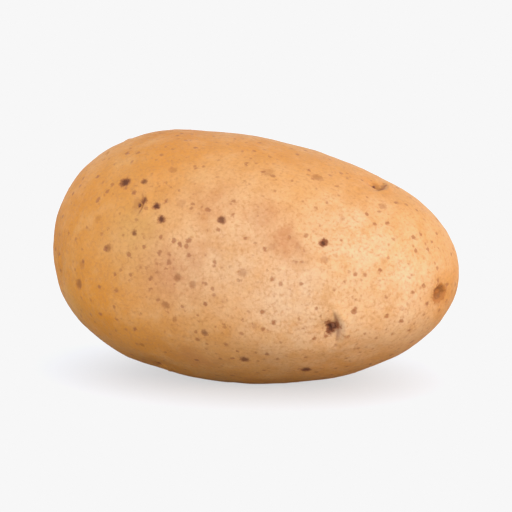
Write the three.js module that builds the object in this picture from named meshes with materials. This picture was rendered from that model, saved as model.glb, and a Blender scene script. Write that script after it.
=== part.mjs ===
// A potato: one washed, yellow-skinned tuber lying on its side. Millimetres, +Z up.
//
// The long axis runs along X, from the blunt rose end (-X), where the eyes crowd together, to the
// narrower heel (+X), where the tuber hung on its stolon. The tuber grew as one piece, so it is one
// solid. The origin is on the surface it lies on, under the middle of its bounding box.
import * as THREE from "three";
import { mergeVertices } from "three/addons/utils/BufferGeometryUtils.js";

// Overall size, and how the tuber departs from a plain ellipsoid.
const LENGTH = 96;
const WIDTH = 62;
const THICKNESS = 56.6;
const TAPER = 0.137; // the share by which the girth shrinks towards the heel and grows towards the rose end
const FULLNESS = 0.125; // the share by which both ends are filled out
const SAG = 1.5; // how far the middle lies below the line between the ends
const BOW = 0.2; // how far the middle lies to the -Y side of that line
const HEEL_DROP_DEG = 3.9; // the narrow heel lies lower than the rose end

// The small flat spot that it rests on: how far the skin is pressed in there, and how softly.
const REST_PRESS = 0.8;
const REST_SOFTNESS = 0.3;

// Each edge of the starting icosahedron is cut this many times.
const CUTS = 15;

// A place on the skin is a station, from -1 at the rose end to 1 at the heel, and the degrees around
// the long axis from the top, towards -Y. Rise is how far a mark stands out, negative where it sinks.
const SWELLINGS_AND_HOLLOWS = [
  { station: -0.55, around: 25, width: 42, rise: 0.7 },
  { station: 0.3, around: 78, width: 34, rise: 0.5 },
  { station: -0.2, around: 112, width: 26, rise: -0.6 },
  { station: 0.45, around: 20, width: 30, rise: -0.5 },
  { station: 0.1, around: 245, width: 36, rise: -1.4 },
  { station: -0.45, around: 285, width: 36, rise: 0.9 },
  { station: 0.5, around: 300, width: 28, rise: 0.6 },
];

// Eyes are shallow dimples, on a loose spiral that tightens towards the rose end.
const EYE = { width: 8, rise: -0.7 };
const EYE_PLACES = [
  { station: 0.6, around: 2 },
  { station: 0.54, around: 107 },
  { station: 0.3, around: 232 },
  { station: 0.08, around: 318 },
  { station: -0.06, around: 262 },
  { station: -0.36, around: 150 },
  { station: -0.45, around: 56 },
  { station: -0.55, around: 292 },
  { station: -0.74, around: 350 },
  { station: -0.8, around: 212 },
  { station: -0.9, around: 104 },
  { station: -0.96, around: 15 },
];

// The round scar where the stolon broke off.
const HEEL_SCAR = { station: 0.97, around: 101, width: 6, rise: -0.8 };

// A soft maximum: exactly `floor` well below it, exactly `value` well above it, rounded in between.
function softFloor(value, floor, softness) {
  if (value < floor - softness) return floor;
  const nearness = Math.max(softness - Math.abs(value - floor), 0) / softness;
  return Math.max(value, floor) + (nearness * nearness * softness) / 4;
}

// Where a place on the skin lies on the unit sphere that the tuber is shaped from.
function directionOf({ station, around }) {
  const girth = Math.sqrt(1 - station * station);
  const angle = THREE.MathUtils.degToRad(around);
  return new THREE.Vector3(station, -girth * Math.sin(angle), girth * Math.cos(angle));
}

// Where a point of the unit sphere lands on the plain form: a tapered, sagging ellipsoid.
function onForm({ x: station, y: across, z: up }) {
  const girth = 1 - TAPER * station + FULLNESS * station * station;
  const middle = 1 - station * station;
  return new THREE.Vector3(
    (LENGTH / 2) * station,
    (WIDTH / 2) * across * girth - BOW * middle,
    (THICKNESS / 2) * up * girth - SAG * middle,
  );
}

// The height of a smooth round mark at a distance from its middle, as a share of its rise.
function markProfile(distance, width) {
  const reach = distance / (width / 2);
  return Math.exp(-reach * reach);
}

function plainForm() {
  const sphere = new THREE.IcosahedronGeometry(1, CUTS);
  sphere.deleteAttribute("normal");
  sphere.deleteAttribute("uv");
  const geometry = mergeVertices(sphere);
  const position = geometry.getAttribute("position");
  const direction = new THREE.Vector3();
  for (let i = 0; i < position.count; i++) {
    const point = onForm(direction.fromBufferAttribute(position, i).normalize());
    position.setXYZ(i, point.x, point.y, point.z);
  }
  geometry.computeVertexNormals();
  return geometry;
}

// Moves the skin along its normals, by the sum of all the marks.
function markSkin(geometry) {
  const eyes = EYE_PLACES.map((place) => ({ ...place, ...EYE }));
  const marks = [...SWELLINGS_AND_HOLLOWS, ...eyes, HEEL_SCAR].map((mark) => ({
    ...mark,
    middle: onForm(directionOf(mark)),
  }));
  const position = geometry.getAttribute("position");
  const normal = geometry.getAttribute("normal");
  const point = new THREE.Vector3();
  const outward = new THREE.Vector3();
  for (let i = 0; i < position.count; i++) {
    point.fromBufferAttribute(position, i);
    outward.fromBufferAttribute(normal, i);
    let rise = 0;
    for (const mark of marks) {
      rise += mark.rise * markProfile(point.distanceTo(mark.middle), mark.width);
    }
    point.addScaledVector(outward, rise);
    position.setXYZ(i, point.x, point.y, point.z);
  }
}

// Presses the underside flat where the tuber rests.
function pressRestSpot(geometry) {
  geometry.computeBoundingBox();
  const floor = geometry.boundingBox.min.z + REST_PRESS;
  const position = geometry.getAttribute("position");
  for (let i = 0; i < position.count; i++) {
    position.setZ(i, softFloor(position.getZ(i), floor, REST_SOFTNESS));
  }
}

// Puts the origin under the middle of the box, at its lowest level.
function standOnOrigin(geometry) {
  geometry.computeBoundingBox();
  const { min, max } = geometry.boundingBox;
  geometry.translate(-(min.x + max.x) / 2, -(min.y + max.y) / 2, -min.z);
}

function tuber() {
  const geometry = plainForm();
  markSkin(geometry);
  geometry.rotateY(THREE.MathUtils.degToRad(HEEL_DROP_DEG));
  pressRestSpot(geometry);
  standOnOrigin(geometry);
  geometry.computeVertexNormals();
  return geometry;
}

const skin = new THREE.MeshStandardMaterial({ color: 0xd9a066, roughness: 0.6, metalness: 0 });

const potato = new THREE.Mesh(tuber(), skin);
potato.name = "potato";

const part = new THREE.Group();
part.add(potato);

export default part;
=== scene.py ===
"""Dress the packed potato: a washed, yellow-skinned tuber lying on its side on a pale floor.

The packed solid gives the tuber its form. This script stretches a fine skin over it, fills out its
flanks a little, and adds eyes with their brows and buds, lenticels, blemishes and the stolon scar.
Lengths are in metres, +Z is up, and the long axis runs along X, from the blunt rose end (-X) to the
narrower heel (+X).
"""

import math
from collections import namedtuple

import bmesh
import bpy
import numpy as np
from bpy.props import FloatProperty, FloatVectorProperty, IntProperty, PointerProperty
from mathutils import Matrix, Vector, noise
from mathutils.bvhtree import BVHTree


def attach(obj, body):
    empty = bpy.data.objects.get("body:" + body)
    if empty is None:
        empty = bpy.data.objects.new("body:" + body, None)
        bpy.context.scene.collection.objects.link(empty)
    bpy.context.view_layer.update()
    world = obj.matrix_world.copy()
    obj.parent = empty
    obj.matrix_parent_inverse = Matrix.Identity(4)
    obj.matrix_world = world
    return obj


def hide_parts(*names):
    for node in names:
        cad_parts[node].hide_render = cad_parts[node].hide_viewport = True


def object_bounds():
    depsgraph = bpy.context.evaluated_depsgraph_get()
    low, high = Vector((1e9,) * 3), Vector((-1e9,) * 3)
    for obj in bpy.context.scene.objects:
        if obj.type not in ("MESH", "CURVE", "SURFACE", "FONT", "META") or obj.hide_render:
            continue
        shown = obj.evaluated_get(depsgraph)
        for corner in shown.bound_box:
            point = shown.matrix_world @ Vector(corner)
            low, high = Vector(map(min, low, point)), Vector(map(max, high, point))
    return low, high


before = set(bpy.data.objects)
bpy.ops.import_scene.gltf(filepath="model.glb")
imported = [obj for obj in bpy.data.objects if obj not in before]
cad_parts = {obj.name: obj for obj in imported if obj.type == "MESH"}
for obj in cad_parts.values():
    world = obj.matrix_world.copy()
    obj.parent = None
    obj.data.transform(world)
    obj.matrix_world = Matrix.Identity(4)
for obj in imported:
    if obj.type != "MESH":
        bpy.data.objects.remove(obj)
CAD_LOW, CAD_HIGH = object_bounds()

bl_info = {
    "name": "Washed potato",
    "version": (1, 0, 0),
    "blender": (4, 5, 0),
    "location": "View3D > Sidebar > Potato",
    "description": "Fine skin, eyes and blemishes for a packed potato, and a pale studio around it",
    "category": "Add Mesh",
}

MM = 0.001

# A place on the skin is a station, from -1 at the rose end to 1 at the heel, and the degrees around
# the long axis from the top, towards -Y.
# An eye's size is a share of the largest, and its stain is how dark the cork in it is, from 0 to 1.
Eye = namedtuple("Eye", "station around size stain")
EYES = [
    Eye(0.54, 107, 1.0, 1.0),
    Eye(0.60, 2, 0.9, 0.35),
    Eye(0.30, 232, 1.0, 0.7),
    Eye(0.08, 318, 1.0, 0.8),
    Eye(-0.06, 262, 0.8, 0.5),
    Eye(-0.36, 150, 0.8, 0.6),
    Eye(-0.45, 56, 0.75, 0.25),
    Eye(-0.55, 292, 1.0, 0.8),
    Eye(-0.74, 350, 0.8, 0.6),
    Eye(-0.80, 212, 0.8, 0.6),
    Eye(-0.90, 104, 0.7, 0.4),
    Eye(-0.96, 15, 0.6, 0.6),
]

STOLON_SCAR = (0.97, 101)

# Corky specks: width in millimetres, and tone from 0, barely there, to 1, the darkest.
Speck = namedtuple("Speck", "station around width tone")
SPECKS = [
    # The dotted arc beyond the eye near the rose end.
    Speck(-0.54, 45, 2.4, 0.80),
    Speck(-0.44, 44, 1.4, 0.65),
    Speck(-0.42, 54, 1.7, 0.75),
    Speck(-0.35, 56, 1.7, 0.85),
    Speck(-0.31, 62, 1.8, 0.80),
    Speck(-0.43, 70, 1.5, 0.65),
    # Along the flank.
    Speck(0.46, 61, 1.9, 1.00),
    Speck(-0.02, 58, 1.8, 0.70),
    Speck(-0.56, 79, 1.5, 0.50),
    Speck(-0.71, 103, 2.0, 0.50),
    Speck(-0.70, 91, 1.6, 0.30),
    Speck(-0.19, 87, 1.7, 0.45),
    Speck(-0.11, 89, 1.6, 0.40),
    Speck(0.12, 81, 1.8, 0.35),
    Speck(-0.24, 100, 1.6, 0.45),
    Speck(-0.19, 106, 1.1, 0.40),
    Speck(-0.04, 110, 1.4, 0.55),
    Speck(-0.37, 124, 1.3, 0.40),
    Speck(0.13, 125, 2.0, 0.65),
    Speck(0.19, 105, 1.2, 0.30),
    Speck(0.39, 138, 2.4, 0.75),
    Speck(-0.32, 36, 1.7, 0.35),
    Speck(-0.23, 53, 1.8, 0.25),
    Speck(0.12, 28, 2.4, 0.30),
    Speck(0.34, 21, 2.2, 0.40),
    Speck(0.67, 24, 1.6, 0.35),
    Speck(0.52, 44, 1.4, 0.25),
    Speck(0.48, 70, 1.6, 0.30),
    Speck(0.24, 67, 1.6, 0.25),
    Speck(0.35, 65, 1.4, 0.25),
    Speck(-0.64, 65, 1.5, 0.25),
    # The far side, the top and the underside.
    Speck(0.20, 344, 1.5, 0.55),
    Speck(-0.15, 338, 1.9, 0.70),
    Speck(-0.22, 330, 1.3, 0.60),
    Speck(-0.40, 312, 1.6, 0.45),
    Speck(0.36, 300, 2.0, 0.80),
    Speck(0.62, 318, 1.4, 0.40),
    Speck(0.55, 268, 1.8, 0.65),
    Speck(0.18, 282, 1.3, 0.45),
    Speck(-0.30, 248, 1.7, 0.70),
    Speck(-0.62, 262, 2.1, 0.60),
    Speck(-0.58, 240, 1.2, 0.50),
    Speck(0.02, 214, 1.6, 0.55),
    Speck(0.52, 198, 1.5, 0.45),
    Speck(-0.34, 196, 1.9, 0.65),
    Speck(-0.05, 168, 1.4, 0.40),
    Speck(0.74, 236, 1.3, 0.55),
    Speck(-0.86, 300, 1.6, 0.60),
    Speck(-0.88, 168, 1.4, 0.45),
    Speck(-0.72, 18, 1.3, 0.35),
    Speck(0.86, 342, 1.2, 0.45),
]

# Broad patches of another colour: width in millimetres, and strength from 0 to 1.
Patch = namedtuple("Patch", "station around width strength")
# Partly the skin's own paler tone and partly a painted highlight: the patches round 58 to 110 degrees,
# on the flank towards -Y, are a painted broad sheen where the front and key lights fall; the two on the
# far side are paler skin only.
PALE_AND_SHEEN = [
    Patch(0.84, 86, 36, 1.0),
    Patch(0.62, 58, 34, 1.0),
    Patch(0.58, 110, 30, 0.9),
    Patch(0.40, 92, 38, 1.0),
    Patch(0.10, 72, 44, 0.75),
    Patch(-0.12, 94, 30, 0.5),
    Patch(0.35, 285, 40, 0.8),
    Patch(-0.40, 262, 30, 0.5),
]
# Painted shade and painted warm reflected light: these orange patches darken and warm the skin round the
# rose end, the heel tip, the top and the underside, where the skin itself is no more orange than
# elsewhere.
ORANGE_RIM_SHADE = [
    Patch(-0.99, 90, 60, 1.0),
    Patch(-0.80, 60, 36, 0.8),
    Patch(-0.70, 120, 40, 1.0),
    Patch(-0.30, 135, 40, 0.8),
    Patch(-0.45, 8, 34, 0.9),
    Patch(0.05, 358, 30, 0.8),
    Patch(0.55, 8, 22, 0.5),
    Patch(-0.45, 165, 44, 1.0),
    Patch(0.20, 180, 44, 0.7),
    Patch(0.50, 145, 24, 0.6),
    Patch(0.99, 120, 18, 0.5),
    Patch(-0.10, 225, 30, 0.5),
]
YELLOW_GREEN = [
    Patch(-0.42, 68, 13, 0.5),
    Patch(-0.77, 123, 12, 0.6),
    Patch(-0.25, 215, 16, 0.6),
    Patch(0.10, 345, 18, 0.4),
]
BLUSH = [
    Patch(0.29, 61, 13, 0.8),
    Patch(0.16, 55, 12, 0.7),
    Patch(-0.18, 82, 15, 0.9),
    Patch(-0.05, 52, 15, 0.5),
    Patch(-0.10, 128, 13, 0.5),
    Patch(0.15, 300, 16, 0.8),
    Patch(-0.50, 235, 14, 0.7),
]
PATCHES = {"pale": PALE_AND_SHEEN, "orange": ORANGE_RIM_SHADE, "yellow_green": YELLOW_GREEN, "blush": BLUSH}

# Where the flanks bulge, by the height of the skin's outward direction, from -1 down to 1 up: most at
# this height, and hardly at all by twice the spread over or under it.
BELLY_HEIGHT = -0.5
BELLY_SPREAD = 0.32

# An eye of size 1. Its brow is a ridge over a fold, along a line that crosses ahead of the bud, on
# the heel side, and bends back at both ends.
BROW_AHEAD = 1.9 * MM
BROW_HALF_LENGTH = 3.8 * MM
BROW_BEND = 60  # the line falls back by this times the square of the distance sideways, in metres
RIDGE_PAST_BROW = 0.9 * MM
RIDGE_REACH = 1.1 * MM
FOLD_BEFORE_BROW = 0.35 * MM
FOLD_REACH = 0.6 * MM
EYE_PIT_REACH = 1.7 * MM
STAIN_CORNERS = 3
STAIN_SHARPNESS = 0.25
EYE_END = 16 * MM  # further away than this, as on the tuber's other side, there is no brow

# The stolon scar, in shares of its ring's radius. Each set of cracks has a depth, as a share of the
# ring's height, a number of cracks around the ring, and a turn in radians.
SCAR_RING_REACH = 0.3
SCAR_HOLLOW_REACH = 0.75
SCAR_STUB_REACH = 0.28
SCAR_CRACKS = ((0.35, 7, 0), (0.2, 12, 1))

# Corky specks have crooked edges: how far they stray, and over what distance. The seed can be any
# whole number over 0. It keeps the edges the same from run to run.
SPECK_STRAY = 0.4 * MM
SPECK_STRAY_SIZE = 1.7 * MM
SPECK_SEED = 1

# How far a speck's pit reaches, in shares of its radius, and what is added to a speck's tone for its
# share of the depth.
SPECK_PIT_REACH = 0.9
FAINTEST_SPECK = 0.4

# Relief fades out this close to the floor, so that the spot that the tuber rests on stays flat.
FLOOR_FADE = 0.5 * MM

# Breathing pores and faint dots are crooked too. Their radii lie between these shares of the widest
# one's width.
PORE_STRAY = 0.9 * MM
PORE_STRAY_SIZE = 1.3 * MM
SMALLEST_PORE = 0.16
LARGEST_PORE = 0.5

# A pore is a pit sunk in a low collar. The pit's floor and rim and the collar's top and foot end at
# these shares of its radius. The collar's height is a share of the pit's depth.
PORE_FLOOR = 0.2
PORE_RIM = 1.0
COLLAR_TOP = 0.8
COLLAR_FOOT = 2.0
COLLAR_HEIGHT = 0.5

# A reach, in shares of a mark's radius, that is past every mark.
FAR = 4.0

# Corners of the packed solid that are closer together than this are one corner.
WELD = 0.01 * MM


def linear(hex_colour):
    """The linear RGB of an sRGB hex colour such as D9A066."""
    shares = [int(hex_colour[i : i + 2], 16) / 255 for i in (0, 2, 4)]
    return tuple(s / 12.92 if s <= 0.04045 else ((s + 0.055) / 1.055) ** 2.4 for s in shares)


def colour(name, description, hex_colour):
    return FloatVectorProperty(
        name=name, description=description, subtype="COLOR", size=3, min=0, max=1,
        default=linear(hex_colour),
    )


def length(name, description, millimetres):
    return FloatProperty(
        name=name, description=description, unit="LENGTH", min=0, default=millimetres * MM,
        precision=5,
    )


class TuberForm(bpy.types.PropertyGroup):
    """The plain form that places on the skin are given on, and how fine the skin's mesh is."""

    long_radius: length("Long radius", "Half the tuber's length", 48)
    wide_radius: length("Wide radius", "Half the tuber's width", 31)
    thick_radius: length("Thick radius", "Half the tuber's thickness", 28.3)
    axis_height: length("Axis height", "Height of the long axis over the floor", 28.9)
    sag: length("Sag", "How far the middle lies below the line between the ends", 1.5)
    taper: FloatProperty(
        name="Taper", description="Share of the girth lost to the heel", default=0.137,
    )
    fullness: FloatProperty(
        name="Fullness", description="Share that the ends are filled out", default=0.125,
    )
    heel_drop: FloatProperty(
        name="Heel drop", description="How far the heel is tipped down", subtype="ANGLE",
        default=math.radians(3.9),
    )
    squares: IntProperty(
        name="Squares", description="Squares along each edge of the skin's mesh", default=125,
    )


class SkinRelief(bpy.types.PropertyGroup):
    """Sizes of what stands out of the skin or sinks into it."""

    belly: length("Belly", "How far the flanks bulge low down", 2.6)
    eye_pit: length("Eye pit", "Depth of the pit that an eye's bud sits in", 0.8)
    eye_stain: length("Eye stain", "Radius of the dark cork in an eye", 1.6)
    brow_height: length("Brow height", "Height of the ridge over an eye", 0.7)
    brow_groove: length("Brow groove", "Depth of the fold under the ridge", 0.65)
    speck_pit: length("Speck pit", "Depth of a corky speck", 0.14)
    scar_ring: length("Scar ring", "Radius of the ring around the stolon scar", 2.1)
    scar_ring_height: length("Scar ring height", "Height of that ring", 0.3)
    scar_pit: length("Scar pit", "Depth of the stolon scar", 1.0)
    scar_stub_height: length("Scar stub height", "Height of the stub left in the stolon scar", 0.6)
    lump_size: length("Lump size", "Distance between the broad lumps", 15)
    lump_height: length("Lump height", "Height of the broad lumps", 1.2)
    wrinkle_size: length("Wrinkle size", "Distance between the fine wrinkles", 2.2)
    wrinkle_height: length("Wrinkle height", "Height of the fine wrinkles", 0.2)
    lenticel_spacing: length("Lenticel spacing", "Distance between the breathing pores", 3.4)
    lenticel_width: length("Lenticel width", "Width of the widest breathing pores", 1.5)
    lenticel_height: length("Lenticel height", "Depth of the breathing pores", 0.07)
    dot_spacing: length("Dot spacing", "Distance between the faint dots among the pores", 2.2)
    dot_width: length("Dot width", "Width of the widest faint dots", 1.3)
    bud_width: length("Bud width", "Width of the bud in an eye of size 1", 1.3)


class SkinColours(bpy.types.PropertyGroup):
    """Colours of the skin and of what is on it."""

    tan: colour("Tan", "Most of the skin", "C68F4E")
    # This orange is the skin's own cloudy tone where the drift pattern lays it, and painted shade with
    # painted warm reflected light where the orange patches lay it.
    orange: colour("Orange", "Where the skin is thickest", "C07818")
    # This pale is partly the skin's own paler tone and partly a painted highlight, a broad sheen on the
    # flank towards -Y.
    pale: colour("Pale", "Where the skin is thinnest", "CFAA84")
    yellow_green: colour("Yellow-green", "Patches that have seen some light", "B99A5A")
    blush: colour("Blush", "Reddish patches", "B07650")
    mottle: colour("Mottle", "Darker cloudy mottling", "A97240")
    net: colour("Net", "Fine net of cork lines", "9C6836")
    lenticel: colour("Lenticel", "Breathing pores", "935A34")
    russet: colour("Russet", "Faint corky specks", "8A5130")
    dark_cork: colour("Dark cork", "The darkest specks", "542C18")
    bud: colour("Bud", "Sleeping buds in the eyes", "5E361E")
    stub: colour("Stub", "Dry end of the stolon", "A0622A")


class Studio(bpy.types.PropertyGroup):
    """Floor, light and camera."""

    azimuth: FloatProperty(
        name="Azimuth", description="How far the camera stands round from -Y", subtype="ANGLE",
        default=math.radians(17),
    )
    elevation: FloatProperty(
        name="Elevation", description="The camera's angle above the horizon", subtype="ANGLE",
        default=math.radians(12.3),
    )
    distance: length("Distance", "From the camera to the potato's middle", 1090)
    lens: FloatProperty(
        name="Lens", description="Focal length in millimetres", subtype="DISTANCE_CAMERA",
        default=330,
    )
    floor_side: length("Floor side", "Side of the square floor", 12000)
    floor_colour: colour("Floor", "Matt white acrylic", "A5A8AC")
    floor_glow: FloatProperty(
        name="Floor glow", description="How brightly the floor glows", default=0.55,
    )
    sky_colour: colour("Sky", "Cool white walls all round", "F3F7FF")
    sky_strength: FloatProperty(
        name="Sky strength", description="Brightness of the walls", default=1.3,
    )
    white: FloatProperty(
        name="White", description="The brightest that the picture gets", default=0.93,
    )
    front_strength: FloatProperty(
        name="Front strength", description="Low, soft front light, in watts a square metre",
        default=2.5,
    )
    front_azimuth: FloatProperty(
        name="Front azimuth", description="Where the front light stands, round from -Y", subtype="ANGLE",
        default=math.radians(-12),
    )
    front_elevation: FloatProperty(
        name="Front elevation", description="The front light's angle above the floor", subtype="ANGLE",
        default=math.radians(3),
    )
    key_colour: colour("Key colour", "Warm white", "FFEACB")
    key_strength: FloatProperty(
        name="Key strength", description="Main light from the heel's side, in watts a square metre",
        default=3.3,
    )
    key_azimuth: FloatProperty(
        name="Key azimuth", description="Where the main light stands, round from -Y", subtype="ANGLE",
        default=math.radians(86),
    )
    key_elevation: FloatProperty(
        name="Key elevation", description="The main light's angle above the floor", subtype="ANGLE",
        default=math.radians(5),
    )
    softness: FloatProperty(
        name="Softness", description="How wide each light looks", subtype="ANGLE",
        default=math.radians(28),
    )


SETTINGS = {
    "tuber_form": TuberForm,
    "skin_relief": SkinRelief,
    "skin_colours": SkinColours,
    "studio": Studio,
}


# Places on the skin.

Spot = namedtuple("Spot", "point out heelward sideways")


def on_form(form, station, across, up):
    """Where a point of the unit ball lands on the plain form, from the form's own middle."""
    girth = 1 - form.taper * station + form.fullness * station * station
    sag = form.sag * (1 - station * station)
    tip = Matrix.Rotation(form.heel_drop, 3, "Y")
    return tip @ Vector((
        form.long_radius * station,
        form.wide_radius * across * girth,
        form.thick_radius * up * girth - sag,
    ))


def form_middle(form):
    centre = (CAD_LOW + CAD_HIGH) / 2
    return Vector((centre.x, centre.y, CAD_LOW.z + form.axis_height))


def unit_place(station, around):
    girth = math.sqrt(1 - station * station)
    angle = math.radians(around)
    return station, -girth * math.sin(angle), girth * math.cos(angle)


def spot_at(form, surface, station, around):
    """The point of the surface at a place, and the directions out, to the heel and sideways."""
    middle = form_middle(form)
    point, out, _, _ = surface.ray_cast(middle, on_form(form, *unit_place(station, around)).normalized())
    heelward = (Vector((1, 0, 0)) - out * out.x).normalized()
    return Spot(np.array(point), np.array(out), np.array(heelward), np.array(out.cross(heelward)))


# The tuber's skin.


def smooth_solid():
    """The packed solid, merged and smoothed, as something that rays can be cast at."""
    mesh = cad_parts["potato"].data.copy()
    bm = bmesh.new()
    bm.from_mesh(mesh)
    bmesh.ops.remove_doubles(bm, verts=bm.verts, dist=WELD)
    bm.to_mesh(mesh)
    bm.free()
    smooth = bpy.data.objects.new("smooth solid", mesh)
    bpy.context.scene.collection.objects.link(smooth)
    rounding = smooth.modifiers.new("rounding", "SUBSURF")
    rounding.levels = rounding.render_levels = 2
    surface = BVHTree.FromObject(smooth, bpy.context.evaluated_depsgraph_get())
    bpy.data.objects.remove(smooth)
    bpy.data.meshes.remove(mesh)
    return surface


def stretched_ball(form, surface):
    """A ball of even squares, stretched over the surface."""
    bm = bmesh.new()
    bmesh.ops.create_cube(bm, size=2)
    bmesh.ops.subdivide_edges(bm, edges=bm.edges[:], cuts=form.squares - 1, use_grid_fill=True)
    middle = form_middle(form)
    for vert in bm.verts:
        ball = Vector([math.tan(c * math.pi / 4) for c in vert.co]).normalized()
        vert.co = surface.ray_cast(middle, on_form(form, *ball).normalized())[0]
    bmesh.ops.recalc_face_normals(bm, faces=bm.faces[:])
    mesh = bpy.data.meshes.new("potato_skin")
    bm.to_mesh(mesh)
    bm.free()
    mesh.shade_smooth()
    return mesh


def hump(distance, reach):
    """1 in the middle, and gone by about twice the reach."""
    return np.exp(-((distance / reach) ** 2))


def eye_relief(spot, points, size, relief):
    """How far one eye's pit and brow raise each point, how deep the point is in the fold, and how
    far it is from the middle of the three-cornered stain, in shares of the stain's radius."""
    # Everything is measured in the lengths of an eye of size 1.
    away = (points - spot.point) / size
    heelward = away @ spot.heelward
    sideways = away @ spot.sideways
    distance = np.linalg.norm(away, axis=1)
    past_brow = heelward - BROW_AHEAD + BROW_BEND * sideways**2
    along = np.exp(-((sideways / BROW_HALF_LENGTH) ** 4)) * (distance * size < EYE_END)
    ridge = along * hump(past_brow - RIDGE_PAST_BROW, RIDGE_REACH)
    fold = along * hump(past_brow + FOLD_BEFORE_BROW, FOLD_REACH)
    pit = hump(distance, EYE_PIT_REACH)
    rise = relief.brow_height * ridge - relief.brow_groove * fold - relief.eye_pit * pit
    turn = np.arctan2(sideways, heelward)
    stain_radius = relief.eye_stain * (1 + STAIN_SHARPNESS * np.cos(STAIN_CORNERS * turn))
    return rise * size, fold, distance / stain_radius


def scar_relief(spot, points, relief):
    """The hollow of the stolon scar with its cracked ring and the stub left in it, and how far each
    point is from its middle, in shares of the ring's radius."""
    away = points - spot.point
    distance = np.linalg.norm(away, axis=1)
    reach = distance / relief.scar_ring
    turn = np.arctan2(away @ spot.sideways, away @ spot.heelward)
    ring = hump(reach - 1, SCAR_RING_REACH)
    ring *= 1 + sum(depth * np.cos(cracks * turn + shift) for depth, cracks, shift in SCAR_CRACKS)
    hollow = hump(reach, SCAR_HOLLOW_REACH)
    stub = hump(reach, SCAR_STUB_REACH)
    rise = relief.scar_ring_height * ring - relief.scar_pit * hollow
    return rise + relief.scar_stub_height * stub, reach


def patch_strength(form, surface, patches, points):
    """How strongly the nearest patches colour each point, from 0 to 1."""
    strength = np.zeros(len(points))
    for patch in patches:
        spot = spot_at(form, surface, patch.station, patch.around)
        distance = np.linalg.norm(points - spot.point, axis=1)
        strength = np.maximum(strength, patch.strength * hump(distance, patch.width * MM / 2))
    return strength


def store(mesh, name, values):
    mesh.attributes.new(name, "FLOAT", "POINT").data.foreach_set("value", values.astype(np.float32))


def crooked_points(points, stray, size, seed):
    """The points, each moved by up to about the stray. Points nearer than the size move alike."""
    noise.seed_set(seed)
    return points + stray * np.array([noise.noise_vector(point) for point in points / size])


def mark_skin(mesh, form, surface, relief):
    """Bulge the flanks, press in the placed marks, and store where they are for the material."""
    count = len(mesh.vertices)
    points = np.empty(count * 3, np.float32)
    outward = np.empty(count * 3, np.float32)
    mesh.vertices.foreach_get("co", points)
    mesh.vertex_normals.foreach_get("vector", outward)
    points = points.reshape(-1, 3).astype(float)
    outward = outward.reshape(-1, 3).astype(float)

    rise = relief.belly * hump(outward[:, 2] - BELLY_HEIGHT, BELLY_SPREAD) * outward[:, 1] ** 2
    crease = np.zeros(count)
    cork_reach = np.full(count, FAR)
    cork_tone = np.zeros(count)
    for eye in EYES:
        spot = spot_at(form, surface, eye.station, eye.around)
        eye_rise, fold, reach = eye_relief(spot, points, eye.size, relief)
        rise += eye_rise
        crease = np.maximum(crease, fold)
        nearer = reach < cork_reach
        cork_reach[nearer] = reach[nearer]
        cork_tone[nearer] = eye.stain
    scar_rise, scar_reach = scar_relief(spot_at(form, surface, *STOLON_SCAR), points, relief)
    rise += scar_rise

    crooked = crooked_points(points, SPECK_STRAY, SPECK_STRAY_SIZE, SPECK_SEED)
    for speck in SPECKS:
        spot = spot_at(form, surface, speck.station, speck.around)
        reach = np.linalg.norm(crooked - spot.point, axis=1) / (speck.width * MM / 2)
        rise -= relief.speck_pit * (FAINTEST_SPECK + speck.tone) * hump(reach, SPECK_PIT_REACH)
        nearer = reach < cork_reach
        cork_reach[nearer] = reach[nearer]
        cork_tone[nearer] = speck.tone

    off_floor = np.clip((points[:, 2] - CAD_LOW.z) / FLOOR_FADE, 0, 1)
    points += outward * (rise * off_floor)[:, None]
    points[:, 2] = np.maximum(points[:, 2], CAD_LOW.z)
    mesh.vertices.foreach_set("co", points.astype(np.float32).ravel())

    store(mesh, "off_floor", off_floor)
    # How deep each point lies in a brow's fold, kept for the painted shade there.
    store(mesh, "crease", crease)
    store(mesh, "cork_reach", cork_reach)
    store(mesh, "cork_tone", cork_tone)
    store(mesh, "scar_reach", np.minimum(scar_reach, FAR))
    for name, patches in PATCHES.items():
        store(mesh, name, patch_strength(form, surface, patches, points))


# Nodes.


def add_node(tree, kind, give, inputs=None, **settings):
    """Add a node, set it up, fill or link its inputs, and return its output called `give`."""
    node = tree.nodes.new(kind)
    for name, value in settings.items():
        setattr(node, name, value)
    for key, value in (inputs or {}).items():
        socket = next(s for s in node.inputs if key in (s.identifier, s.name))
        if isinstance(value, bpy.types.NodeSocket):
            tree.links.new(value, socket)
        else:
            socket.default_value = value
    return next(s for s in node.outputs if give in (s.identifier, s.name))


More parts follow.
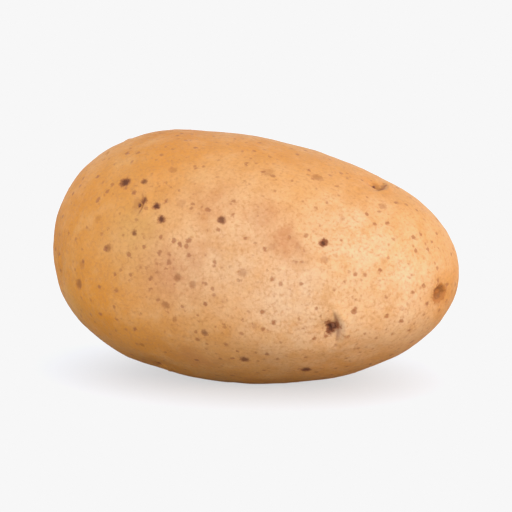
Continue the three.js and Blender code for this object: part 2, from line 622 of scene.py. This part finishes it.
def lenticel_pattern(tree, where, spacing, width):
    """The scattered breathing pores: each place's distance from the nearest one, in shares of its
    radius, and that one's own chance number. The relief and the colour both use it."""
    stray = add_node(
        tree, "ShaderNodeTexNoise", "Color",
        {"Vector": where, "Scale": 1 / PORE_STRAY_SIZE, "Detail": 2.0},
    )
    stray = add_node(
        tree, "ShaderNodeVectorMath", "Vector", {"Vector": stray, "Vector_001": (0.5, 0.5, 0.5)},
        operation="SUBTRACT",
    )
    stray = add_node(
        tree, "ShaderNodeVectorMath", "Vector", {"Vector": stray, "Scale": PORE_STRAY},
        operation="SCALE",
    )
    bent = add_node(
        tree, "ShaderNodeVectorMath", "Vector", {"Vector": where, "Vector_001": stray},
        operation="ADD",
    )
    scale = add_node(
        tree, "ShaderNodeMath", "Value", {"Value": 1.0, "Value_001": spacing}, operation="DIVIDE",
    )
    cells = {"Vector": bent, "Scale": scale}
    gap = add_node(tree, "ShaderNodeTexVoronoi", "Distance", cells)
    chance = add_node(tree, "ShaderNodeTexVoronoi", "Color", cells)
    chance = add_node(tree, "ShaderNodeSeparateXYZ", "X", {"Vector": chance})
    distance = add_node(
        tree, "ShaderNodeMath", "Value", {"Value": gap, "Value_001": spacing}, operation="MULTIPLY",
    )
    share = add_node(
        tree, "ShaderNodeMapRange", "Result",
        {"Value": chance, "To Min": SMALLEST_PORE, "To Max": LARGEST_PORE},
    )
    radius = add_node(
        tree, "ShaderNodeMath", "Value", {"Value": width, "Value_001": share}, operation="MULTIPLY",
    )
    reach = add_node(
        tree, "ShaderNodeMath", "Value", {"Value": distance, "Value_001": radius},
        operation="DIVIDE",
    )
    return reach, chance


def new_geometry_tree(name, sizes):
    """A geometry tree with a named input for each size and one for the material."""
    tree = bpy.data.node_groups.new(name, "GeometryNodeTree")
    tree.interface.new_socket("Geometry", in_out="INPUT", socket_type="NodeSocketGeometry")
    for size in sizes:
        socket = tree.interface.new_socket(size, in_out="INPUT", socket_type="NodeSocketFloat")
        socket.subtype = "DISTANCE"
    tree.interface.new_socket("Material", in_out="INPUT", socket_type="NodeSocketMaterial")
    tree.interface.new_socket("Geometry", in_out="OUTPUT", socket_type="NodeSocketGeometry")
    return tree, tree.nodes.new("NodeGroupInput").outputs


def close_geometry_tree(tree, given, geometry):
    """End the tree in plain mesh with the material on it."""
    real = add_node(tree, "GeometryNodeRealizeInstances", "Geometry", {"Geometry": geometry})
    done = add_node(
        tree, "GeometryNodeSetMaterial", "Geometry",
        {"Geometry": real, "Material": given["Material"]},
    )
    tree.links.new(done, tree.nodes.new("NodeGroupOutput").inputs["Geometry"])


def apply_geometry_tree(piece, tree, values):
    """Run the tree on the piece with these inputs, and keep the result as its plain mesh."""
    modifier = piece.modifiers.new(tree.name, "NODES")
    modifier.node_group = tree
    for item in tree.interface.items_tree:
        if item.in_out == "INPUT" and item.name in values:
            modifier[item.identifier] = values[item.name]
    depsgraph = bpy.context.evaluated_depsgraph_get()
    evaluated = piece.evaluated_get(depsgraph)
    mesh = bpy.data.meshes.new_from_object(evaluated, preserve_all_data_layers=True, depsgraph=depsgraph)
    piece.modifiers.remove(modifier)
    old = piece.data
    piece.data = mesh
    bpy.data.meshes.remove(old)
    mesh.name = piece.name


RELIEF_SIZES = (
    "Lump size", "Lump height", "Wrinkle size", "Wrinkle height",
    "Lenticel spacing", "Lenticel width", "Lenticel height",
)


def skin_relief_tree():
    """Lumps, wrinkles and breathing pores over the whole skin."""
    tree, given = new_geometry_tree("skin relief", RELIEF_SIZES)
    where = add_node(tree, "GeometryNodeInputPosition", "Position")
    reach, _ = lenticel_pattern(tree, where, given["Lenticel spacing"], given["Lenticel width"])
    pit = add_node(
        tree, "ShaderNodeMapRange", "Result",
        {
            "Value": reach, "From Min": PORE_FLOOR, "From Max": PORE_RIM, "To Min": -1.0,
            "To Max": 0.0,
        },
        interpolation_type="SMOOTHSTEP",
    )
    collar = add_node(
        tree, "ShaderNodeMapRange", "Result",
        {
            "Value": reach, "From Min": COLLAR_TOP, "From Max": COLLAR_FOOT,
            "To Min": COLLAR_HEIGHT, "To Max": 0.0,
        },
        interpolation_type="SMOOTHSTEP",
    )
    pore = add_node(
        tree, "ShaderNodeMath", "Value", {"Value": pit, "Value_001": collar}, operation="ADD",
    )
    rise = add_node(
        tree, "ShaderNodeMath", "Value", {"Value": pore, "Value_001": given["Lenticel height"]},
        operation="MULTIPLY",
    )
    for what, detail in (("Lump", 1.0), ("Wrinkle", 3.0)):
        scale = add_node(
            tree, "ShaderNodeMath", "Value", {"Value": 1.0, "Value_001": given[what + " size"]},
            operation="DIVIDE",
        )
        field = add_node(
            tree, "ShaderNodeTexNoise", "Fac", {"Vector": where, "Scale": scale, "Detail": detail},
        )
        centred = add_node(
            tree, "ShaderNodeMath", "Value", {"Value": field, "Value_001": 0.5},
            operation="SUBTRACT",
        )
        rise = add_node(
            tree, "ShaderNodeMath", "Value",
            {"Value": centred, "Value_001": given[what + " height"], "Value_002": rise},
            operation="MULTIPLY_ADD",
        )
    off_floor = add_node(
        tree, "GeometryNodeInputNamedAttribute", "Attribute", {"Name": "off_floor"},
    )
    rise = add_node(
        tree, "ShaderNodeMath", "Value", {"Value": rise, "Value_001": off_floor},
        operation="MULTIPLY",
    )
    outward = add_node(tree, "GeometryNodeInputNormal", "Normal")
    move = add_node(
        tree, "ShaderNodeVectorMath", "Vector", {"Vector": outward, "Scale": rise},
        operation="SCALE",
    )
    moved = add_node(
        tree, "GeometryNodeSetPosition", "Geometry",
        {"Geometry": given["Geometry"], "Offset": move},
    )
    close_geometry_tree(tree, given, moved)
    return tree


# The scales of a bud: heelward, sideways and outward, in shares of its width. Leans are in radians.
BudScale = namedtuple("BudScale", "place size lean")
BUD_SCALES = (
    BudScale((0, 0, 0), (0.8, 1.0, 0.8), (0, -0.35, 0)),
    BudScale((-0.1, 0.55, -0.08), (0.55, 0.7, 0.5), (-0.5, -0.2, 0)),
    BudScale((-0.05, -0.6, -0.1), (0.5, 0.65, 0.45), (0.5, -0.25, 0)),
)

# A scale narrows to this share of its width at its tip.
BUD_TIP = 0.35


def bud_tree():
    """A sleeping bud at each point: a pointed scale with a smaller one on each side."""
    tree, given = new_geometry_tree("eye buds", ("Bud width",))
    # Everything in the bud is for a bud 1 wide.
    radius = 0.5
    ball = add_node(tree, "GeometryNodeMeshIcoSphere", "Mesh", {"Radius": radius, "Subdivisions": 2})
    where = add_node(tree, "GeometryNodeInputPosition", "Position")
    height = add_node(tree, "ShaderNodeSeparateXYZ", "Z", {"Vector": where})
    pointed = add_node(
        tree, "ShaderNodeMapRange", "Result",
        {"Value": height, "From Min": 0.0, "From Max": radius, "To Min": 1.0, "To Max": BUD_TIP},
    )
    narrow = add_node(
        tree, "ShaderNodeCombineXYZ", "Vector", {"X": pointed, "Y": pointed, "Z": 1.0},
    )
    narrowed = add_node(
        tree, "ShaderNodeVectorMath", "Vector", {"Vector": where, "Vector_001": narrow},
        operation="MULTIPLY",
    )
    pointed_ball = add_node(
        tree, "GeometryNodeSetPosition", "Geometry", {"Geometry": ball, "Position": narrowed},
    )
    bud = tree.nodes.new("GeometryNodeJoinGeometry")
    for scale in BUD_SCALES:
        placed = add_node(
            tree, "GeometryNodeTransform", "Geometry",
            {
                "Geometry": pointed_ball, "Translation": scale.place, "Rotation": scale.lean,
                "Scale": scale.size,
            },
        )
        tree.links.new(placed, bud.inputs["Geometry"])
    turn = add_node(
        tree, "GeometryNodeInputNamedAttribute", "Attribute", {"Name": "turn"},
        data_type="FLOAT_VECTOR",
    )
    size = add_node(tree, "GeometryNodeInputNamedAttribute", "Attribute", {"Name": "size"})
    width = add_node(
        tree, "ShaderNodeMath", "Value", {"Value": size, "Value_001": given["Bud width"]},
        operation="MULTIPLY",
    )
    buds = add_node(
        tree, "GeometryNodeInstanceOnPoints", "Instances",
        {
            "Points": given["Geometry"], "Instance": bud.outputs["Geometry"], "Rotation": turn,
            "Scale": width,
        },
    )
    smooth = add_node(tree, "GeometryNodeSetShadeSmooth", "Geometry", {"Geometry": buds})
    close_geometry_tree(tree, given, smooth)
    return tree


# Materials.


def new_material(name, **constants):
    """A material with one shader, whose constants are set on its own sockets."""
    material = bpy.data.materials.new(name)
    material.use_nodes = True
    tree = material.node_tree
    tree.nodes.clear()
    shader = tree.nodes.new("ShaderNodeBsdfPrincipled")
    for socket, value in constants.items():
        shader.inputs[socket.replace("_", " ")].default_value = value
    output = tree.nodes.new("ShaderNodeOutputMaterial")
    tree.links.new(shader.outputs["BSDF"], output.inputs["Surface"])
    return material, tree, shader.inputs


# Cloudy patterns in the skin: the distance between their clouds in millimetres, detail and roughness.
# A real skin's grain and crumbs are finer, and are drawn as coarse as it takes for them to show.
Pattern = namedtuple("Pattern", "size detail roughness")
PATTERNS = {
    "drift": Pattern(26, 3.0, 0.5),
    "cloud": Pattern(5.5, 5.0, 0.62),
    "grain": Pattern(0.8, 3.0, 0.6),
    "ragged": Pattern(0.6, 2.0, 0.6),
    "crumbs": Pattern(0.35, 3.0, 0.65),
}

# The net of fine cork lines: the distance between its lines, how far they stray, and over what.
NET_SIZE = 1.2 * MM
NET_STRAY = 1.8 * MM
NET_STRAY_SIZE = 1.6 * MM

# A cloudy pattern has nearly all of its values between these.
PATTERN_LOW = 0.25
PATTERN_HIGH = 0.75

# Cork's ragged edge strays this far in and out, in shares of a mark's radius.
FRAY = 0.3

# Specks up to the first tone have no dark cork, and those from the second tone on have it all over.
PALE_TONE = 0.25
DARK_TONE = 0.95

# How rough the skin is in the clouds where it is waxiest and in those where it is driest.
WAXY_CLOUD = 0.3
DRY_CLOUD = 0.7
WAXY_ROUGHNESS = 0.5
DRY_ROUGHNESS = 0.62

# How much rougher cork is, and where that starts and is full, in shares of a mark's radius.
CORK_ROUGHNESS = 0.2
CORK_START = 1.4
CORK_FULL = 0.8

# The finest relief, too fine for the mesh: each pattern's share of FINEST_RELIEF, and where a pore's
# pit starts and is full, in shares of its radius.
FINEST_RELIEF = 0.1 * MM
FINEST_SHARES = {"crumbs": 0.5, "grain": 0.7, "net": 0.5}
FINEST_PORE_SHARE = -0.8
FINEST_PORE_START = 1.0
FINEST_PORE_FULL = 0.45

# The streaks on bud scales: the distance between them, and their height.
STREAK_SIZE = 0.3 * MM
STREAK_HEIGHT = 0.05 * MM

# What the skin's mesh carries for its colours.
SKIN_MARKS = ("cork_reach", "cork_tone", "scar_reach", "crease", *PATCHES)

# The skin's colours, each laid over the ones before. A colour is not there where its field is at
# `bare`, reaches `strength` where the field is at `full`, and is scaled by the field `share`.
Layer = namedtuple("Layer", "colour field bare full strength share")
SKIN_LAYERS = (
    Layer("orange", "drift", 0.45, 0.68, 0.5, "whole"),
    # The pale patches: paler skin and, on the flank towards -Y, a painted highlight.
    Layer("pale", "cloud", 1.0, 0.35, 1.0, "pale"),
    # The orange patches: painted shade and painted warm reflected light round the rim.
    Layer("orange", "cloud", 0.2, 0.58, 1.0, "orange"),
    Layer("yellow_green", "cloud", 0.25, 0.6, 0.6, "yellow_green"),
    Layer("blush", "cloud", 0.3, 0.65, 0.9, "blush"),
    Layer("mottle", "cloud", 0.52, 0.8, 0.25, "whole"),
    Layer("net", "net", 0.3, 0.0, 0.25, "cloud"),
    Layer("mottle", "grain", 0.45, 0.75, 0.6, "whole"),
    Layer("lenticel", "dot_edge", 1.25, 0.4, 0.9, "dot_chance"),
    Layer("lenticel", "pore_edge", 1.1, 0.5, 0.8, "pore_chance"),
    Layer("russet", "cork_edge", 1.5, 0.8, 1.0, "cork_tone"),
    Layer("dark_cork", "cork_edge", 1.15, 0.35, 1.0, "cork_dark"),
    # Painted shade: the fold under each eye's brow is darkened russet, over the shade that the fold's
    # own relief casts.
    Layer("russet", "crease", 0.15, 0.9, 0.6, "whole"),
    Layer("stub", "scar_edge", 1.35, 1.0, 0.85, "whole"),
    Layer("dark_cork", "scar_edge", 0.85, 0.55, 0.4, "whole"),
    Layer("stub", "scar_edge", 0.4, 0.2, 0.9, "whole"),
)


def washed_periderm(colours, relief):
    """Periderm, a potato's own thin cork, washed and dried: matt, with a faint waxy sheen, cloudy
    tan over paler flesh, and dotted with breathing pores and darker cork."""
    material, tree, shader = new_material(
        "washed periderm", IOR=1.42, Specular_IOR_Level=0.3, Subsurface_Weight=0.12,
        Subsurface_Radius=(1.0, 0.45, 0.2), Subsurface_Scale=1.5 * MM,
    )
    where = add_node(tree, "ShaderNodeTexCoord", "Object")
    fields = {"whole": 1.0}
    for name, pattern in PATTERNS.items():
        fields[name] = add_node(
            tree, "ShaderNodeTexNoise", "Fac",
            {
                "Vector": where, "Scale": 1 / (pattern.size * MM), "Detail": pattern.detail,
                "Roughness": pattern.roughness,
            },
        )
    for name in SKIN_MARKS:
        fields[name] = add_node(tree, "ShaderNodeAttribute", "Fac", attribute_name=name)
    fields["pore_reach"], fields["pore_chance"] = lenticel_pattern(
        tree, where, relief.lenticel_spacing, relief.lenticel_width,
    )
    fields["dot_reach"], fields["dot_chance"] = lenticel_pattern(
        tree, where, relief.dot_spacing, relief.dot_width,
    )

    frayed = add_node(
        tree, "ShaderNodeMapRange", "Result",
        {
            "Value": fields["ragged"], "From Min": PATTERN_LOW, "From Max": PATTERN_HIGH,
            "To Min": -FRAY, "To Max": FRAY,
        },
    )
    for mark in ("cork", "scar", "pore", "dot"):
        fields[mark + "_edge"] = add_node(
            tree, "ShaderNodeMath", "Value", {"Value": fields[mark + "_reach"], "Value_001": frayed},
            operation="ADD",
        )
    fields["cork_dark"] = add_node(
        tree, "ShaderNodeMapRange", "Result",
        {"Value": fields["cork_tone"], "From Min": PALE_TONE, "From Max": DARK_TONE},
        interpolation_type="SMOOTHSTEP",
    )

    stray = add_node(
        tree, "ShaderNodeTexNoise", "Color",
        {"Vector": where, "Scale": 1 / NET_STRAY_SIZE, "Detail": 3.0},
    )
    stray = add_node(
        tree, "ShaderNodeVectorMath", "Vector", {"Vector": stray, "Scale": NET_STRAY},
        operation="SCALE",
    )
    bent = add_node(
        tree, "ShaderNodeVectorMath", "Vector", {"Vector": where, "Vector_001": stray},
        operation="ADD",
    )
    fields["net"] = add_node(
        tree, "ShaderNodeTexVoronoi", "Distance", {"Vector": bent, "Scale": 1 / NET_SIZE},
        feature="DISTANCE_TO_EDGE",
    )

    skin = (*colours.tan, 1.0)
    for layer in SKIN_LAYERS:
        cover = add_node(
            tree, "ShaderNodeMapRange", "Result",
            {
                "Value": fields[layer.field], "From Min": layer.bare, "From Max": layer.full,
                "To Min": 0.0, "To Max": layer.strength,
            },
            interpolation_type="SMOOTHSTEP",
        )
        cover = add_node(
            tree, "ShaderNodeMath", "Value", {"Value": cover, "Value_001": fields[layer.share]},
            operation="MULTIPLY",
        )
        tint = (*getattr(colours, layer.colour), 1.0)
        skin = add_node(
            tree, "ShaderNodeMix", "Result_Color",
            {"Factor_Float": cover, "A_Color": skin, "B_Color": tint}, data_type="RGBA",
        )
    tree.links.new(skin, shader["Base Color"])

    waxy = add_node(
        tree, "ShaderNodeMapRange", "Result",
        {
            "Value": fields["cloud"], "From Min": WAXY_CLOUD, "From Max": DRY_CLOUD,
            "To Min": WAXY_ROUGHNESS, "To Max": DRY_ROUGHNESS,
        },
    )
    corky = add_node(
        tree, "ShaderNodeMapRange", "Result",
        {
            "Value": fields["cork_edge"], "From Min": CORK_START, "From Max": CORK_FULL,
            "To Min": 0.0, "To Max": CORK_ROUGHNESS,
        },
    )
    rough = add_node(
        tree, "ShaderNodeMath", "Value", {"Value": waxy, "Value_001": corky}, operation="ADD",
        use_clamp=True,
    )
    tree.links.new(rough, shader["Roughness"])

    height = add_node(
        tree, "ShaderNodeMapRange", "Result",
        {
            "Value": fields["pore_reach"], "From Min": FINEST_PORE_START,
            "From Max": FINEST_PORE_FULL, "To Min": 0.0, "To Max": FINEST_PORE_SHARE,
        },
        interpolation_type="SMOOTHSTEP",
    )
    for name, share in FINEST_SHARES.items():
        height = add_node(
            tree, "ShaderNodeMath", "Value",
            {"Value": fields[name], "Value_001": share, "Value_002": height},
            operation="MULTIPLY_ADD",
        )
    bump = add_node(
        tree, "ShaderNodeBump", "Normal",
        {"Height": height, "Distance": FINEST_RELIEF, "Strength": 1.0},
    )
    tree.links.new(bump, shader["Normal"])
    return material


def dry_bud(colours):
    """Bud scales, dry and papery at the tips: brown, matt and finely streaked."""
    material, tree, shader = new_material("dry bud scales", IOR=1.45, Roughness=0.7)
    where = add_node(tree, "ShaderNodeTexCoord", "Object")
    streak = add_node(
        tree, "ShaderNodeTexNoise", "Fac",
        {"Vector": where, "Scale": 1 / STREAK_SIZE, "Detail": 3.0},
    )
    tint = add_node(
        tree, "ShaderNodeMix", "Result_Color",
        {
            "Factor_Float": streak, "A_Color": (*colours.bud, 1.0),
            "B_Color": (*colours.russet, 1.0),
        },
        data_type="RGBA",
    )
    tree.links.new(tint, shader["Base Color"])
    bump = add_node(
        tree, "ShaderNodeBump", "Normal", {"Height": streak, "Distance": STREAK_HEIGHT},
    )
    tree.links.new(bump, shader["Normal"])
    return material


def glowing_floor(studio):
    """Matt white acrylic over lamps, as under packshots: it looks brighter than the light that it
    throws up, so shadows on it stay pale. It has no gloss and no pattern."""
    material, tree, shader = new_material(
        "matt white acrylic", Base_Color=(*studio.floor_colour, 1.0), Roughness=1.0,
        Specular_IOR_Level=0.0, Emission_Color=(1.0, 1.0, 1.0, 1.0),
    )
    seen = add_node(tree, "ShaderNodeLightPath", "Is Camera Ray")
    glow = add_node(
        tree, "ShaderNodeMath", "Value", {"Value": seen, "Value_001": studio.floor_glow},
        operation="MULTIPLY",
    )
    tree.links.new(glow, shader["Emission Strength"])
    return material


# Pieces.


def new_piece(name, mesh):
    piece = bpy.data.objects.new(name, mesh)
    bpy.context.scene.collection.objects.link(piece)
    return piece


def hand_in(piece):
    """Fix the piece to the solid that it stands for."""
    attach(piece, "root")
    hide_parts("potato")


class POTATO_OT_skin(bpy.types.Operator):
    """Stretch the fine, marked skin over the packed solid"""

    bl_idname = "potato.skin"
    bl_label = "Skin"

    def execute(self, context):
        form = context.scene.tuber_form
        relief = context.scene.skin_relief
        surface = smooth_solid()
        mesh = stretched_ball(form, surface)
        mark_skin(mesh, form, surface, relief)
        skin = new_piece("potato_skin", mesh)
        values = {name: getattr(relief, name.lower().replace(" ", "_")) for name in RELIEF_SIZES}
        values["Material"] = washed_periderm(context.scene.skin_colours, relief)
        apply_geometry_tree(skin, skin_relief_tree(), values)
        hand_in(skin)
        return {"FINISHED"}


class POTATO_OT_buds(bpy.types.Operator):
    """Set a sleeping bud in each eye"""

    bl_idname = "potato.buds"
    bl_label = "Eye buds"

    def execute(self, context):
        form = context.scene.tuber_form
        skin = bpy.data.objects["potato_skin"]
        surface = BVHTree.FromObject(skin, context.evaluated_depsgraph_get())
        spots = [spot_at(form, surface, eye.station, eye.around) for eye in EYES]
        mesh = bpy.data.meshes.new("eye_buds")
        mesh.from_pydata([spot.point for spot in spots], [], [])
        turns = [
            Matrix((spot.heelward, spot.sideways, spot.out)).transposed().to_euler() for spot in spots
        ]
        turn_of_point = mesh.attributes.new("turn", "FLOAT_VECTOR", "POINT")
        turn_of_point.data.foreach_set("vector", [angle for turn in turns for angle in turn])
        store(mesh, "size", np.array([eye.size for eye in EYES]))
        buds = new_piece("eye_buds", mesh)
        values = {
            "Bud width": context.scene.skin_relief.bud_width,
            "Material": dry_bud(context.scene.skin_colours),
        }
        apply_geometry_tree(buds, bud_tree(), values)
        hand_in(buds)
        return {"FINISHED"}


class POTATO_OT_stage(bpy.types.Operator):
    """Lay the floor, light it and point the camera"""

    bl_idname = "potato.stage"
    bl_label = "Studio"

    def execute(self, context):
        studio = context.scene.studio
        scene = context.scene
        half = studio.floor_side / 2
        mesh = bpy.data.meshes.new("floor")
        mesh.from_pydata(
            [(-half, -half, 0), (half, -half, 0), (half, half, 0), (-half, half, 0)], [], [(0, 1, 2, 3)],
        )
        floor = new_piece("floor", mesh)
        floor.location.z = CAD_LOW.z
        floor.data.materials.append(glowing_floor(studio))

        scene.world = bpy.data.worlds.new("white walls")
        scene.world.use_nodes = True
        walls = scene.world.node_tree.nodes["Background"]
        walls.inputs["Color"].default_value = (*studio.sky_colour, 1.0)
        walls.inputs["Strength"].default_value = studio.sky_strength

        for name, tint in (("key", studio.key_colour), ("front", studio.sky_colour)):
            light = bpy.data.lights.new(name, "SUN")
            light.color = tint
            light.energy = getattr(studio, name + "_strength")
            light.angle = studio.softness
            lamp = bpy.data.objects.new(name, light)
            scene.collection.objects.link(lamp)
            elevation = getattr(studio, name + "_elevation")
            azimuth = getattr(studio, name + "_azimuth")
            lamp.rotation_euler = (math.pi / 2 - elevation, 0, azimuth)

        back = direction_from(studio.azimuth, studio.elevation)
        camera = bpy.data.objects.new("camera", bpy.data.cameras.new("camera"))
        scene.collection.objects.link(camera)
        camera.data.lens = studio.lens
        camera.location = (CAD_LOW + CAD_HIGH) / 2 + back * studio.distance
        camera.rotation_euler = back.to_track_quat("Z", "Y").to_euler()
        scene.camera = camera
        clip_whites(scene.view_settings, studio.white)
        return {"FINISHED"}


def clip_whites(view, white):
    """Show colours as they are, up to a white that everything brighter is clipped to."""
    view.view_transform = "Standard"
    view.use_curve_mapping = True
    # The last curve, after red, green and blue, is for all three.
    *_, together = view.curve_mapping.curves
    together.points[1].location = (1, white)
    together.points.new(white, white)
    for point in together.points:
        point.handle_type = "VECTOR"
    view.curve_mapping.update()


def direction_from(azimuth, elevation):
    """The direction to something that stands this far round from -Y and this high."""
    flat = math.cos(elevation)
    return Vector((math.sin(azimuth) * flat, -math.cos(azimuth) * flat, math.sin(elevation)))


OPERATORS = (POTATO_OT_skin, POTATO_OT_buds, POTATO_OT_stage)


class POTATO_PT_panel(bpy.types.Panel):
    """Lists the potato's settings and pieces"""

    bl_idname = "POTATO_PT_panel"
    bl_label = "Washed potato"
    bl_space_type = "VIEW_3D"
    bl_region_type = "UI"
    bl_category = "Potato"

    def draw(self, context):
        for name, group in SETTINGS.items():
            column = self.layout.column(heading=group.__doc__)
            settings = getattr(context.scene, name)
            for prop in group.__annotations__:
                column.prop(settings, prop)
        for operator in OPERATORS:
            self.layout.operator(operator.bl_idname)


CLASSES = (*SETTINGS.values(), *OPERATORS, POTATO_PT_panel)


def register():
    for cls in CLASSES:
        bpy.utils.register_class(cls)
    for name, group in SETTINGS.items():
        setattr(bpy.types.Scene, name, PointerProperty(type=group))


def unregister():
    for name in SETTINGS:
        delattr(bpy.types.Scene, name)
    for cls in reversed(CLASSES):
        bpy.utils.unregister_class(cls)


def main():
    register()
    bpy.ops.potato.skin()
    bpy.ops.potato.buds()
    bpy.ops.potato.stage()


if __name__ == "__main__":
    main()
